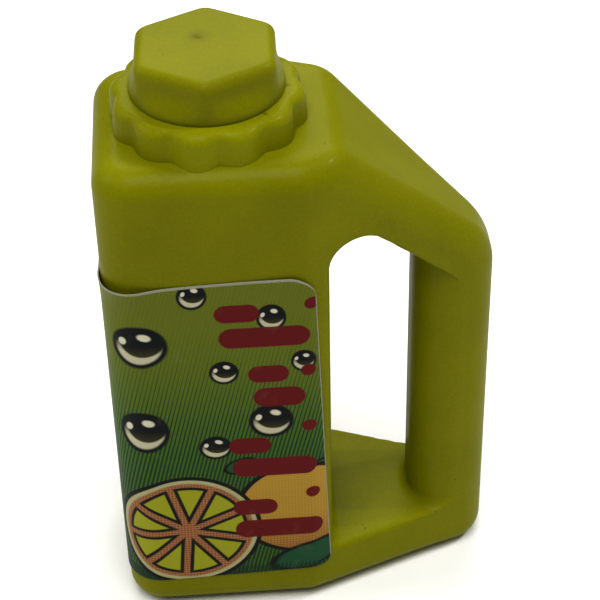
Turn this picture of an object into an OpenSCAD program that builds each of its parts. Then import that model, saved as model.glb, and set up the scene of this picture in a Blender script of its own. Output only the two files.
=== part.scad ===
// Miniature handled jug with a hexagonal screw cap, a scalloped neck collar and a wrap-around label.
// Millimetres, +Z up. The origin is on the resting face, under the middle of the overall box.
// +X runs from the label end to the handle, and the jug is the same on its +Y and -Y sides.

/* [Jug] */
// Height of the flat top above the resting face
jug_h = 50; // [42:0.5:60]
// Length from the label end to the back of the handle
jug_l = 34.8; // [32:0.2:42]
// Width across the two broad sides
jug_w = 19.1; // [18.2:0.1:24]
// Width of the handle at its back
rear_w = 5.6; // [5.2:0.1:7]
// Distance from the label end to the ridge where the shoulder starts to slope
ridge_x = 20.5; // [18.5:0.1:22]
// Distance from the label end to where the broad sides start to taper
bend_x = 17.6; // [16.5:0.1:19]
// Slope of the shoulder below the horizontal, in degrees
slope_angle = 44; // [38:1:48]
// Wall thickness of the hollow tank
wall = 1.2; // [0.8:0.1:1.6]

/* [Rounding] */
// Radius of the long edges
edge_r = 2.4; // [1.6:0.1:2.8]
// Radius of the two upright corners at the label end
corner_r = 3.4; // [2.6:0.1:4]
// Radius where the shoulder runs into the back of the handle
rear_r = 6.5; // [4:0.1:8]
// Radius of the upright corners at the back of the handle
rear_corner_r = 2; // [1:0.1:2.4]

/* [Handle] */
// Distance from the label end to the finger opening
hole_x = 19.5; // [18.5:0.1:20.5]
// Length of the finger opening
hole_l = 8; // [6.5:0.1:8.4]
// Height of the shelf below the finger opening
shelf_h = 5.9; // [5:0.1:7.5]
// Thickness of the sloping arm above the finger opening
arm_t = 4.1; // [3.4:0.1:5]
// Radius at the top of the finger opening
hole_top_r = 2.7; // [2:0.1:3]
// Radius at the foot of the finger opening
hole_foot_r = 1; // [0.5:0.1:1.5]
// Rounding of the grip where the fingers close round it
grip_r = 3.3; // [2:0.1:3.4]

/* [Neck] */
// Distance from the label end to the neck's axis
neck_x = 10; // [9.4:0.1:10.8]
// Outside diameter of the neck at the root of its thread
neck_d = 8.6; // [8:0.1:9]
// Bore of the neck
neck_bore_d = 6.8; // [6.2:0.1:7]
// Height of the neck above the flat top
neck_h = 5.2; // [5.1:0.1:7]
// Pitch of the cap thread
thread_pitch = 1.5; // [1.4:0.1:1.6]
// Turns of thread on the neck and in the cap
thread_turns = 2; // [1:0.25:2]
// Height of the thread ridges
thread_h = 0.5; // [0.35:0.05:0.55]

/* [Collar] */
// Thickness of the collar's rim over its lobes, around the cap's skirt
collar_rim = 2.45; // [2:0.05:2.6]
// Height of the collar
collar_h = 2.9; // [2.4:0.1:3]
// Thickness of the collar's floor, which sits on the flat top
collar_floor = 1.1; // [0.8:0.1:1.2]
// Number of lobes
lobes = 12; // [8:1:16]
// Depth of the valleys between the lobes
lobe_depth = 0.8; // [0.4:0.05:0.9]
// Angle that turns the lobes about the neck, in degrees
lobe_turn = 20.5; // [0:0.5:30]

/* [Cap] */
// Wall between the cap's bore and the flats of the hexagon
cap_wall = 0.95; // [0.8:0.05:1.2]
// Radius of the hexagon's upright corners
cap_corner_r = 0.8; // [0.4:0.1:1.2]
// How far the cap's round foot stands out from its skirt
foot_reach = 0.85; // [0.7:0.05:1.2]
// Thickness of the cap above its liner
cap_roof = 1; // [0.8:0.1:1.6]
// Wall of the skirt inside the collar
skirt_wall = 0.8; // [0.7:0.05:0.95]
// Thickness of the sealing liner
liner_t = 0.55; // [0.4:0.05:1]
// Angle at which the tightened cap stops, in degrees
cap_stop = -2; // [-30:1:30]

/* [Label] */
// Thickness of the label
label_t = 0.15; // [0.1:0.05:0.2]
// Height of the label's lower edge
label_z = 3.7; // [3:0.1:5]
// Height of the label
label_h = 35; // [25:0.5:36]
// Distance from the label's free edges to the finger opening
label_margin = 1.1; // [0.8:0.1:6]

/* [Fits] */
// Clearance between the cap's thread and the neck's thread
thread_gap = 0.15; // [0.1:0.01:0.2]
// Gap under and around the cap where it meets the collar
seat_gap = 0.25; // [0.2:0.01:0.3]
// Gap between the liner and what it seals
face_gap = 0.03; // [0.02:0.01:0.05]

/* [Hidden] */
$fn = 96;
e = 0.1;                                  // overshoot of a cut past its face
arc_steps = 6;                            // straight steps in one rounded outline corner
lobe_steps = 12;                          // straight steps in one lobe of the collar
thread_steps = 36;                        // straight steps in one turn of a thread
thread_root_w = thread_pitch / 2;         // width of a thread ridge at its root
thread_crest_w = thread_pitch * 0.3;      // width of a thread ridge at its crest
thread_sink = 0.15;                       // how far a thread ridge is rooted in its wall
thread_fade = 30;                         // angle over which a thread ridge rises from its wall
flare_h = 0.6;                            // height of the cap's straight foot, and of the flare on it

end_x = -(jug_l - label_t) / 2;           // the label end of the jug
back_x = end_x + jug_l;                   // the back of the handle
axis_x = end_x + neck_x;                  // the neck's axis
half_w = jug_w / 2;
rear_half_w = rear_w / 2;
taper_angle = atan((half_w - rear_half_w) / (jug_l - bend_x));
far = 2 * jug_h;                          // longer than anything it cuts

hole_left = end_x + hole_x;
hole_right = hole_left + hole_l;

neck_r = neck_d / 2;
neck_top = jug_h + neck_h;
crest_r = neck_r + thread_h;
thread_z = neck_top - thread_pitch * thread_turns - thread_root_w / 2 - face_gap;

cap_bore_r = crest_r + thread_gap;
cap_flats = 2 * (cap_bore_r + cap_wall);
skirt_r = cap_bore_r + skirt_wall;
foot_r = skirt_r + foot_reach;
socket_r = skirt_r + seat_gap;            // the collar's inner wall around the skirt
collar_r = socket_r + collar_rim;
skirt_z = jug_h + collar_floor + seat_gap;
foot_z = jug_h + collar_h + seat_gap;
liner_z = neck_top + face_gap;
roof_z = liner_z + liner_t + face_gap;
cap_top = roof_z + cap_roof;

// ---- outlines: corners in anticlockwise order, each with a radius ----

function unit(v) = v / norm(v);
function inward(a, b) = let (d = unit(b - a)) [-d[1], d[0]];
function cross2(a, b) = a[0] * b[1] - a[1] * b[0];

// Where the line through p along u crosses the line through q along v
function crossing(p, u, q, v) = p + u * cross2(q - p, v) / cross2(u, v);

// The outline moved inwards by d all round, or outwards when d is negative
function inset(points, d) = let (n = len(points)) [
    for (i = [0 : n - 1])
        let (a = points[(i + n - 1) % n], b = points[i], c = points[(i + 1) % n])
        crossing(a + inward(a, b) * d, b - a, b + inward(b, c) * d, c - b)
];

// The arc of radius r that replaces corner b between a and c
function corner_arc(a, b, c, r) = let (
        u = unit(a - b),
        v = unit(c - b),
        half = acos(u * v) / 2,
        centre = b + unit(u + v) * r / sin(half),
        start = b + u * r / tan(half) - centre,
        sweep = 180 - 2 * half
    ) [
        for (i = [0 : arc_steps])
            let (t = sweep * i / arc_steps)
            centre + [start[0] * cos(t) - start[1] * sin(t), start[0] * sin(t) + start[1] * cos(t)]
    ];

function rounded(points, radii) = let (n = len(points)) [
    for (i = [0 : n - 1])
        each corner_arc(points[(i + n - 1) % n], points[i], points[(i + 1) % n], radii[i])
];

// A radius that follows a wall moved inwards by d, and never reaches zero
function inner_r(r, d) = max(r - d, 0.3);

// Side view, X and Z
function side_points() = [
    [end_x, 0],
    [back_x, 0],
    [back_x, jug_h - tan(slope_angle) * (jug_l - ridge_x)],
    [end_x + ridge_x, jug_h],
    [end_x, jug_h]
];
side_radii = [edge_r, edge_r, rear_r, edge_r, edge_r];

// Plan view, X and Y
function plan_points() = [
    [end_x, -half_w],
    [end_x + bend_x, -half_w],
    [back_x, -rear_half_w],
    [back_x, rear_half_w],
    [end_x + bend_x, half_w],
    [end_x, half_w]
];
plan_radii = [corner_r, edge_r, rear_corner_r, rear_corner_r, edge_r, corner_r];

// End view, Y and Z
function end_points() = [[-half_w, 0], [half_w, 0], [half_w, jug_h], [-half_w, jug_h]];
end_radii = [edge_r, edge_r, edge_r, edge_r];

// Height of the arm's underside at a distance x from the label end
function arm_under(x) = jug_h - tan(slope_angle) * (x - ridge_x) - arm_t / cos(slope_angle);

// Finger opening, X and Z, running on to the right by extra
function hole_points(extra = 0) = [
    [hole_left, shelf_h],
    [hole_right + extra, shelf_h],
    [hole_right + extra, arm_under(hole_x + hole_l + extra)],
    [hole_left, arm_under(hole_x)]
];
hole_radii = [hole_foot_r, hole_foot_r, hole_foot_r, hole_top_r];

// ---- building blocks ----

// Extrudes an X-Z outline through the whole width
module across(points) {
    rotate([90, 0, 0])
        linear_extrude(height = far, center = true)
            polygon(points);
}

// The jug's outer form, moved inwards by d
module jug_form(d = 0) {
    intersection() {
        across(rounded(inset(side_points(), d), [for (r = side_radii) inner_r(r, d)]));
        linear_extrude(height = far)
            polygon(rounded(inset(plan_points(), d), [for (r = plan_radii) inner_r(r, d)]));
        rotate([90, 0, 90])
            linear_extrude(height = far, center = true)
                polygon(rounded(inset(end_points(), d), [for (r = end_radii) inner_r(r, d)]));
    }
}

// The hollow of the tank: the form less its wall, up to the wall beside the finger opening
module tank_hollow() {
    intersection() {
        jug_form(wall);
        translate([hole_left - wall - far, -far / 2, 0])
            cube([far, far, far]);
    }
}

// What is cut away to round one inner upright edge of the grip, on the -Y side
module grip_edge() {
    // the rounding may not pass the middle of the grip
    face_y = half_w - tan(taper_angle) * (hole_x + hole_l - bend_x);
    most_r = face_y / (tan(taper_angle) + 1 / cos(taper_angle));
    r = min(grip_r, most_r);
    centre = [hole_right + r, -(face_y - tan(taper_angle) * r - r / cos(taper_angle))];
    touch = centre + r * [sin(taper_angle), -cos(taper_angle)];
    difference() {
        intersection() {
            across(hole_points(2 * r));
            linear_extrude(height = far)
                polygon([
                    [hole_right - e, centre[1]],
                    centre,
                    touch,
                    [touch[0], -far],
                    [hole_right - e, -far]
                ]);
        }
        translate([centre[0], centre[1], -e])
            cylinder(h = far, r = r);
    }
}

// A helical ridge about the Z axis, on a wall of radius root_r.
// height is positive for a ridge on the outside of a neck and negative for one inside a cap.
module thread_ridge(root_r, height, first_angle) {
    side = sign(height);
    n = thread_steps * thread_turns;
    swept = 360 * thread_turns;
    // radius of the crest at angle t, rising from inside the wall at both ends
    function crest(t) = let (k = min(1, t / thread_fade, (swept - t) / thread_fade))
        root_r - side * thread_sink / 2 + (height + side * thread_sink / 2) * k;
    function section(t) = [
        [root_r - side * thread_sink, -thread_root_w / 2],
        [crest(t), -thread_crest_w / 2],
        [crest(t), thread_crest_w / 2],
        [root_r - side * thread_sink, thread_root_w / 2]
    ];
    points = [
        for (i = [0 : n])
            let (t = swept * i / n, a = t + first_angle, lift = thread_z + thread_pitch * t / 360)
            for (p = section(t)) [p[0] * cos(a), p[0] * sin(a), p[1] + lift]
    ];
    sides = [
        for (i = [0 : n - 1], j = [0 : 3])
            let (a = 4 * i + j, b = 4 * i + (j + 1) % 4)
            side > 0 ? [b, b + 4, a + 4, a] : [a, a + 4, b + 4, b]
    ];
    first = side > 0 ? [3, 2, 1, 0] : [0, 1, 2, 3];
    last = [for (j = first) 4 * n + 3 - j];
    polyhedron(points = points, faces = concat([first], sides, [last]), convexity = 6);
}

// Corners of a hexagon, from its size across flats
function hexagon_points(flats) = [
    for (i = [0 : 5]) flats / 2 / cos(30) * [cos(60 * i), sin(60 * i)]
];

// Outline of the collar: lobes that meet in narrow valleys
function lobed_points() = [
    for (i = [0 : lobes * lobe_steps - 1])
        let (a = 360 * i / (lobes * lobe_steps), r = collar_r - lobe_depth * (1 - abs(cos(lobes * a / 2))))
        [r * cos(a), r * sin(a)]
];

// ---- the pieces ----

module jug_body() {
    color("#a8ad22")
    difference() {
        union() {
            difference() {
                jug_form();
                across(rounded(hole_points(), hole_radii));
                grip_edge();
                mirror([0, 1, 0])
                    grip_edge();
                tank_hollow();
            }
            translate([axis_x, 0, jug_h - wall / 2])
                cylinder(h = neck_h + wall / 2, r = neck_r);
            translate([axis_x, 0, 0])
                thread_ridge(neck_r, thread_h, 0);
        }
        translate([axis_x, 0, jug_h - wall - e])
            cylinder(h = neck_h + wall + 2 * e, d = neck_bore_d);
    }
}

module neck_collar() {
    color("#adb225")
    translate([axis_x, 0, jug_h])
    difference() {
        rotate(lobe_turn)
            linear_extrude(height = collar_h)
                polygon(lobed_points());
        translate([0, 0, -e])
            cylinder(h = collar_h + 2 * e, r = neck_r + face_gap);
        translate([0, 0, collar_floor])
            cylinder(h = collar_h, r = socket_r);
    }
}

module screw_cap() {
    color("#b0b52a")
    translate([axis_x, 0, 0]) {
        difference() {
            union() {
                translate([0, 0, foot_z])
                    rotate(90 + cap_stop)
                        linear_extrude(height = cap_top - foot_z)
                            polygon(rounded(hexagon_points(cap_flats), [for (i = [0 : 5]) cap_corner_r]));
                translate([0, 0, foot_z])
                    cylinder(h = flare_h, r = foot_r);
                translate([0, 0, foot_z + flare_h])
                    cylinder(h = flare_h, r1 = foot_r, r2 = skirt_r);
                translate([0, 0, skirt_z])
                    cylinder(h = foot_z - skirt_z + flare_h, r = skirt_r);
            }
            translate([0, 0, skirt_z - e])
                cylinder(h = roof_z - skirt_z + e, r = cap_bore_r);
        }
        thread_ridge(cap_bore_r, -thread_h, 180);
    }
}

module cap_liner() {
    color("#e8e6da")
    translate([axis_x, 0, liner_z])
        cylinder(h = liner_t, r = cap_bore_r - face_gap * 2);
}

module label() {
    color("#4f9a3c")
    intersection() {
        difference() {
            translate([0, 0, label_z])
                linear_extrude(height = label_h)
                    polygon(rounded(inset(plan_points(), -label_t), [for (r = plan_radii) r + label_t]));
            linear_extrude(height = far)
                polygon(rounded(plan_points(), plan_radii));
        }
        translate([hole_left - label_margin - far, -far / 2, 0])
            cube([far, far, far]);
    }
}

jug_body();
neck_collar();
screw_cap();
cap_liner();
label();
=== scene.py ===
import math

import bpy
import numpy as np
from bpy.props import FloatProperty, FloatVectorProperty, IntProperty, PointerProperty
from mathutils import Matrix, Vector


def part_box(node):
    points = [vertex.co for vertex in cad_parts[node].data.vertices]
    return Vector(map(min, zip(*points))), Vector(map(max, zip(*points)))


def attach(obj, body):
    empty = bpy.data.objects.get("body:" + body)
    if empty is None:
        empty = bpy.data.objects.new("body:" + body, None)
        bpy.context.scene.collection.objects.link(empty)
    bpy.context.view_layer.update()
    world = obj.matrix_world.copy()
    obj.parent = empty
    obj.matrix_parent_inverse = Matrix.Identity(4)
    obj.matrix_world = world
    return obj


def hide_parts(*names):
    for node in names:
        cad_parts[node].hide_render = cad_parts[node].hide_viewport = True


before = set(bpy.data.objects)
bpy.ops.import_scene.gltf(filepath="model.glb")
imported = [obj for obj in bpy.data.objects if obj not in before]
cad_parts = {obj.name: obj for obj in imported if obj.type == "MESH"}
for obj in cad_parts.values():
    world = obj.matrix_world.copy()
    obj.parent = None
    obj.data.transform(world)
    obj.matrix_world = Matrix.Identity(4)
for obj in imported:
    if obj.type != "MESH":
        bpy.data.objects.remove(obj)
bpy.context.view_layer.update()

bl_info = {
    "name": "Miniature Handled Jug",
    "version": (1, 0, 0),
    "blender": (4, 5, 0),
    "location": "3D View > Sidebar > Jug",
    "description": "Moulded jug with a lobed collar, a hexagonal screw cap and a wrap-around label",
    "category": "Object",
}

MM = 0.001
RED_INK = "#680e0e"
OUTLINE_INK = "#0e120c"

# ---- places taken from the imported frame, in metres ----

JUG_LOW, JUG_HIGH = (np.array(corner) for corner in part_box("jug_body"))
COLLAR_LOW, COLLAR_HIGH = (np.array(corner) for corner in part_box("neck_collar"))
CAP_LOW, CAP_HIGH = (np.array(corner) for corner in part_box("screw_cap"))
LINER_LOW, LINER_HIGH = (np.array(corner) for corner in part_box("cap_liner"))
LABEL_LOW, LABEL_HIGH = (np.array(corner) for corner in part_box("label"))

END_X = JUG_LOW[0]                              # the label end of the jug
BACK_X = JUG_HIGH[0]                            # the back of the handle
HALF_W = JUG_HIGH[1]                            # half the width across the broad sides
JUG_TOP = COLLAR_LOW[2]                         # the flat top
NECK_TOP = JUG_HIGH[2]                          # the mouth of the neck
AXIS_X = (LINER_LOW[0] + LINER_HIGH[0]) / 2     # the axis of the neck, collar and cap
BORE_R = (LINER_HIGH[0] - LINER_LOW[0]) / 2     # the liner, and the inside of the cap round it


# ---- the sizes and colours a user would change ----

def size(name, description, millimetres):
    """A length property, given in millimetres and kept in metres."""
    return FloatProperty(name=name, description=description, default=millimetres * MM,
                         precision=5, subtype="DISTANCE", unit="LENGTH")


def angle(name, description, degrees):
    """An angle property, given in degrees and kept in radians."""
    return FloatProperty(name=name, description=description, default=math.radians(degrees),
                         subtype="ANGLE", unit="ROTATION")


def linear(hex_colour):
    """An sRGB hex colour as the linear colour the shaders take."""
    parts = [int(hex_colour[i:i + 2], 16) / 255 for i in (1, 3, 5)]
    return tuple(p / 12.92 if p <= 0.04045 else ((p + 0.055) / 1.055) ** 2.4 for p in parts) + (1.0,)


def colour(name, description, hex_colour):
    """A colour property, given as an sRGB hex value."""
    return FloatVectorProperty(name=name, description=description, default=linear(hex_colour),
                               size=4, min=0.0, max=1.0, subtype="COLOR")


class JugShape(bpy.types.PropertyGroup):
    ridge_x: size("Ridge", "From the label end to where the shoulder starts to slope", 20.5)
    bend_x: size("Bend", "From the label end to where the broad sides start to taper", 17.6)
    slope: angle("Shoulder slope", "Slope of the shoulder below the horizontal", 44)
    rear_w: size("Rear width", "Width of the handle at its back", 5.6)
    edge_r: size("Edge radius", "Radius of the long edges", 2.4)
    ridge_r: size("Ridge radius", "Radius of the ridge across the shoulder", 3.0)
    corner_r: size("Corner radius", "Radius of the upright corners at the label end", 3.4)
    rear_r: size("Rear radius", "Radius where the shoulder runs into the back", 6.5)
    rear_corner_r: size("Rear corner radius", "Radius of the upright corners at the back", 2.0)
    wall: size("Wall", "Wall thickness of the hollow tank", 1.2)
    hole_x: size("Opening place", "From the label end to the finger opening", 19.5)
    hole_l: size("Opening length", "Length of the finger opening", 8.0)
    shelf_h: size("Shelf height", "Height of the shelf below the finger opening", 5.9)
    arm_t: size("Arm thickness", "Thickness of the sloping arm above the opening", 4.1)
    hole_top_r: size("Opening top radius", "Radius at the top of the finger opening", 2.7)
    hole_foot_r: size("Opening foot radius", "Radius at the foot of the finger opening", 1.0)
    rim_r: size("Rim radius", "Rounding of the opening's upright edge on the tank", 0.6)
    lip_r: size("Lip radius", "Rounding of the shelf's and the arm's edges", 0.45)
    grip_r: size("Grip radius", "Rounding of the grip where the fingers close round it", 3.3)
    grip_fillet: size("Grip fillet", "Fillet where the grip stands on the shelf", 1.1)
    neck_r: size("Neck radius", "Outside radius of the neck", 4.3)
    neck_bore_r: size("Neck bore radius", "Inside radius of the neck", 3.4)
    fine: size("Fine spacing", "Mesh spacing at the rounded edges", 0.26)
    coarse: size("Coarse spacing", "Mesh spacing on the flat faces", 0.75)


class ThreadShape(bpy.types.PropertyGroup):
    pitch: size("Pitch", "Rise of the thread in one turn", 1.5)
    turns: FloatProperty(name="Turns", description="Turns of thread", default=2.0)
    ridge_r: size("Ridge radius", "Radius of the thread's rounded ridge", 0.36)
    drop: size("Drop", "From the neck's mouth down to the last ridge", 0.45)


class CollarShape(bpy.types.PropertyGroup):
    outer_r: size("Outer radius", "Radius of the collar over its lobes", 8.45)
    socket_r: size("Socket radius", "Radius of the socket that the cap's skirt turns in", 6.0)
    floor_t: size("Floor", "Thickness of the floor below the socket", 1.1)
    edge_r: size("Top edge radius", "Rounding of the collar's top edge", 1.0)
    sunk: size("Sunk foot", "How far the wall runs down past the flat top, over the jug's rounded edge", 0.6)
    lobes: IntProperty(name="Lobes", description="Number of lobes round the collar", default=12)
    depth: size("Lobe depth", "Depth of the valleys between the lobes", 0.75)
    turn: angle("Lobe turn", "Angle that turns the lobes about the neck", 20.5)


class CapShape(bpy.types.PropertyGroup):
    flats_r: size("Flats", "From the axis to a flat of the hexagon", 5.9)
    vertex: angle("Hexagon turn", "Angle of the hexagon's first corner", -91.8)
    sharpness: FloatProperty(name="Sharpness", description="How sharp the corners are", default=23.0)
    edge_r: size("Top edge radius", "Rounding of the hexagon's top edge", 0.85)
    foot_r: size("Foot radius", "Radius of the round foot", 6.6)
    foot_h: size("Foot height", "Height of the round foot below the hexagon's flare", 0.25)
    foot_gap: size("Foot gap", "Gap between the foot and the collar's top", 0.02)
    skirt_r: size("Skirt radius", "Radius of the skirt inside the collar", 5.75)
    roof: size("Roof", "Thickness of the cap above its liner", 1.0)
    gate_x: size("Gate place X", "Place of the moulding gate on the top, along the jug", -0.45)
    gate_y: size("Gate place Y", "Place of the moulding gate on the top, across the jug", 1.2)
    gate_r: size("Gate radius", "Radius of the nub that the moulding gate left", 0.35)


class LabelShape(bpy.types.PropertyGroup):
    thickness: size("Thickness", "Thickness of the label", 0.15)
    lean: angle("Lean", "How far the label is stuck on askew", 2.0)
    height: size("Height", "Height of the label", 35.0)
    foot: size("Foot", "Height of the label's lower edge at the label end", 3.7)
    reach: size("Reach", "From the label end to the middle of a free edge", 18.8)
    corner_r: size("Corner radius", "Radius of the label's corners", 1.1)
    lift: size("Lifted edge", "How far the upper edge stands off at the corner of the jug", 0.6)
    edge_lift: size("Lifted end", "How far the upper edge stands off at the free edges", 0.22)
    margin: size("Margin", "Unprinted margin along the upper edge, twice that of the free edges", 0.2)


class Finishes(bpy.types.PropertyGroup):
    plastic: colour("Plastic", "Lime green of the moulded jug", "#7f7f03")
    # painted light: the collar is the jug's lime made a little lighter, so that its top reads as more
    # brightly lit
    collar: colour("Collar", "Lime green of the collar", "#868604")
    cap: colour("Cap", "Lime green of the cap", "#7e7e05")
    liner: colour("Liner", "Off-white of the foam liner", "#dedbcc")
    paper: colour("Paper", "White of the label's cut edge", "#a9a894")
    floor: colour("Floor", "Pale floor", "#f3f2f0")


class Studio(bpy.types.PropertyGroup):
    key: FloatProperty(name="Key", description="Power of the soft light above", default=1.8, unit="POWER")
    fill: FloatProperty(name="Fill", description="Power of the light behind", default=1.7, unit="POWER")
    side: FloatProperty(name="Side", description="Power of the light by the label", default=0.7, unit="POWER")
    glint: FloatProperty(name="Glint", description="Power of the two small lamps", default=0.35, unit="POWER")
    ambient: FloatProperty(name="Ambient", description="Strength of the room's light", default=0.22)
    lens: FloatProperty(name="Lens", description="Focal length in millimetres", default=114.93)


# ---- helpers for nodes and meshes ----

def add_node(tree, kind, settings=None, links=None):
    """Adds a node: settings go to its properties or its inputs, links from other nodes' outputs."""
    node = tree.nodes.new(kind)
    for name, value in (settings or {}).items():
        if isinstance(name, str) and hasattr(node, name):
            setattr(node, name, value)
        else:
            node.inputs[name].default_value = value
    for name, source in (links or {}).items():
        tree.links.new(source, node.inputs[name])
    return node


def maths(tree, operation, *values):
    """The result of a maths step on numbers or other nodes' outputs."""
    settings = {"operation": operation}
    links = {}
    for i, value in enumerate(values):
        (settings if isinstance(value, (int, float)) else links)[i] = value
    return add_node(tree, "ShaderNodeMath", settings, links).outputs[0]


def make_piece(name, points, faces, smooth=True):
    """A mesh object at the origin from points in metres."""
    mesh = bpy.data.meshes.new(name)
    mesh.from_pydata([tuple(p) for p in points], [], [tuple(int(i) for i in f) for f in faces])
    mesh.validate()
    mesh.update()
    mesh.polygons.foreach_set("use_smooth", [smooth] * len(mesh.polygons))
    piece = bpy.data.objects.new(name, mesh)
    bpy.context.scene.collection.objects.link(piece)
    return piece


def turned(rows, count, place=(0.0, 0.0)):
    """Points and faces of rows of rings. A row is a function of angles giving radius and height."""
    angles = np.arange(count) * 2 * math.pi / count
    rings = []
    for row in rows:
        radius, height = row(angles)
        rings.append(np.stack([
            place[0] + radius * np.cos(angles),
            place[1] + radius * np.sin(angles),
            np.zeros(count) + height,
        ], axis=1))
    faces = []
    for i in range(len(rings) - 1):
        for j in range(count):
            k = (j + 1) % count
            faces.append((i * count + j, i * count + k, (i + 1) * count + k, (i + 1) * count + j))
    return np.concatenate(rings), faces


def ring(radius, height):
    """A round row for turned()."""
    return lambda angles: (np.zeros(len(angles)) + radius, height)


def arc(centre, radius, start, end, steps):
    """Points on an arc in the radius and height plane, with angles in degrees."""
    return [
        (centre[0] + radius * math.cos(math.radians(a)), centre[1] + radius * math.sin(math.radians(a)))
        for a in np.linspace(start, end, steps)
    ]


def baked(piece, group, values):
    """The piece as a plain mesh after a Geometry Nodes tree with the named input values."""
    modifier = piece.modifiers.new("shape", "NODES")
    modifier.node_group = group
    for item in group.interface.items_tree:
        if item.item_type == "SOCKET" and item.in_out == "INPUT" and item.name in values:
            modifier[item.identifier] = values[item.name]
    evaluated = piece.evaluated_get(bpy.context.evaluated_depsgraph_get())
    mesh = bpy.data.meshes.new_from_object(evaluated)
    mesh.name = piece.name
    piece.modifiers.remove(modifier)
    old = piece.data
    piece.data = mesh
    bpy.data.meshes.remove(old)
    return piece


def new_tree(name, inputs):
    """An empty Geometry Nodes tree with named inputs, given as name: (socket kind, default)."""
    tree = bpy.data.node_groups.new(name, "GeometryNodeTree")
    for label, (kind, default) in inputs.items():
        socket = tree.interface.new_socket(label, in_out="INPUT", socket_type=kind)
        if default is not None:
            socket.default_value = default
    tree.interface.new_socket("Geometry", in_out="OUTPUT", socket_type="NodeSocketGeometry")
    return tree, add_node(tree, "NodeGroupInput").outputs


def end_tree(tree, geometry, material):
    """Ends a tree in Realize Instances and Set Material."""
    smooth = add_node(tree, "GeometryNodeSetShadeSmooth", links={"Geometry": geometry})
    real = add_node(tree, "GeometryNodeRealizeInstances", links={"Geometry": smooth.outputs[0]})
    done = add_node(tree, "GeometryNodeSetMaterial", links={
        "Geometry": real.outputs[0],
        "Material": material,
    })
    add_node(tree, "NodeGroupOutput", links={0: done.outputs[0]})


# ---- the form of the jug, as signed distances ----

def outline_distance(u, v, corners, radii):
    """Signed distance to a convex outline given anticlockwise, its corners rounded by arcs."""
    corners = np.array(corners)
    edges = np.roll(corners, -1, axis=0) - corners
    normals = np.stack([edges[:, 1], -edges[:, 0]], axis=1)
    normals /= np.linalg.norm(normals, axis=1)[:, None]
    offsets = (normals * corners).sum(axis=1)
    walls = [n[0] * u + n[1] * v - d for n, d in zip(normals, offsets)]
    distance = np.maximum.reduce(walls)
    for i, radius in enumerate(radii):
        before, after = normals[i - 1], normals[i]
        centre = np.linalg.solve([before, after], [offsets[i - 1] - radius, offsets[i] - radius])
        du, dv = u - centre[0], v - centre[1]
        facing = (before[0] * dv - before[1] * du > 0) & (du * after[1] - dv * after[0] > 0)
        distance = np.where(facing, np.hypot(du, dv) - radius, distance)
    return distance


def round_cut(a, b, radius):
    """What is inside both a and b, with the edge between them rounded."""
    outside = np.hypot(np.maximum(a + radius, 0), np.maximum(b + radius, 0))
    return np.minimum(-radius, np.maximum(a, b)) + outside


def round_join(a, b, radius):
    """What is inside a or b, with a fillet between them."""
    return -round_cut(-a, -b, radius)


def ramp(value, start, end):
    """Rises smoothly from 0 at start to 1 at end."""
    t = np.clip((value - start) / (end - start), 0, 1)
    return t * t * (3 - 2 * t)


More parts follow.
